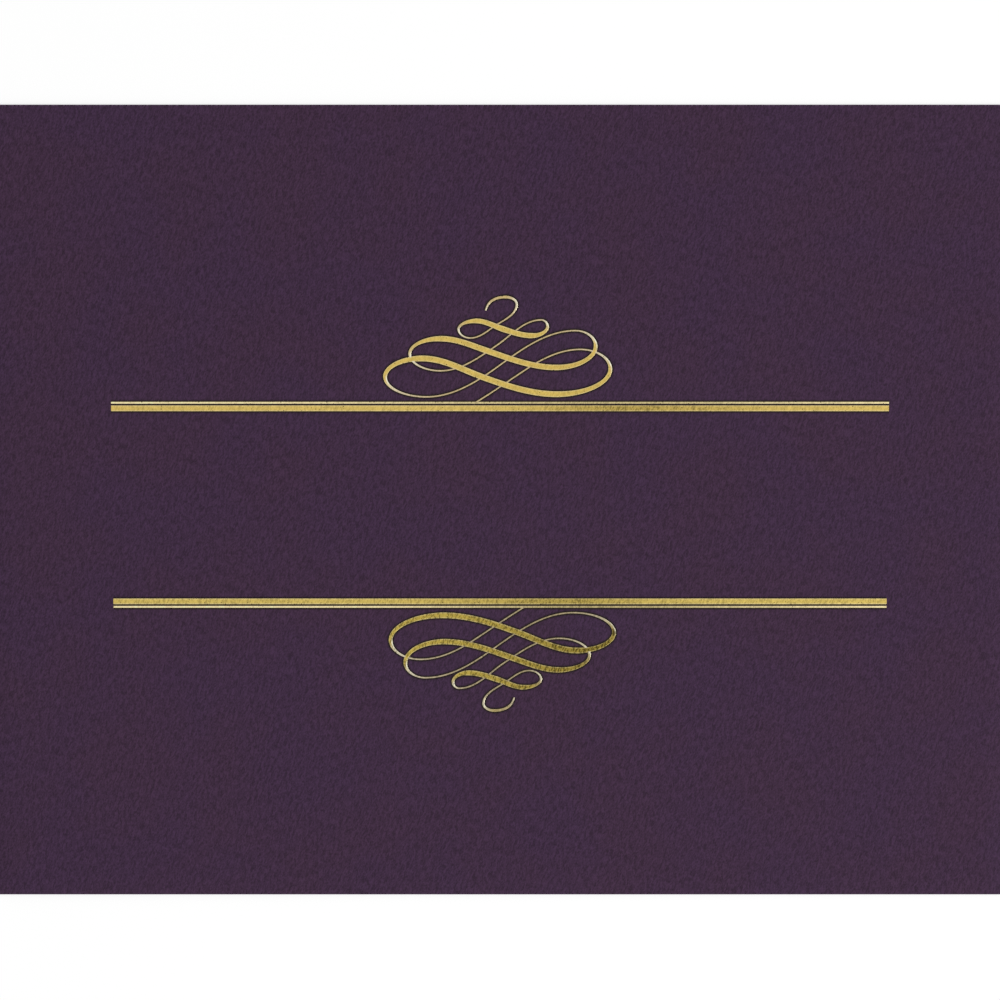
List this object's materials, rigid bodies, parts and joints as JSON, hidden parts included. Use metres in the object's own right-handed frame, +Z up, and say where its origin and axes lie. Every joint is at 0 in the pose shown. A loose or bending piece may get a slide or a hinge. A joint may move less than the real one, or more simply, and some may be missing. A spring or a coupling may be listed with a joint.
{
  "type": "diploma cover",
  "caption": "Landscape diploma cover: card sheet folded along its upper edge, foil rules and pen flourishes on the front, diagonal corner slits in the back leaf.",
  "frame": {"origin": "underside of the closed cover, in the middle of its outline", "axes": "+X to the right along the fold, +Y towards the fold and the top of the design, +Z up out of the front face"},
  "size_m": [0.3048, 0.2382, 0.0011],
  "materials": {
    "card": "matt, felt-marked",
    "gold_foil": "hot-stamped, satin"
  },
  "bodies": {
    "back": {"back_leaf": "card"},
    "front": {"front_leaf": "card", "upper_bar_foil": "gold_foil", "upper_scroll_foil": "gold_foil", "lower_bar_foil": "gold_foil", "lower_scroll_foil": "gold_foil"}
  },
  "joints": [
    {"name": "cover_fold", "type": "hinge", "parent": "back", "child": "front", "pos_m": [0, 0.1185, 0.00055], "axis": [-1, 0, 0], "range_deg": [0, 180]}
  ]
}
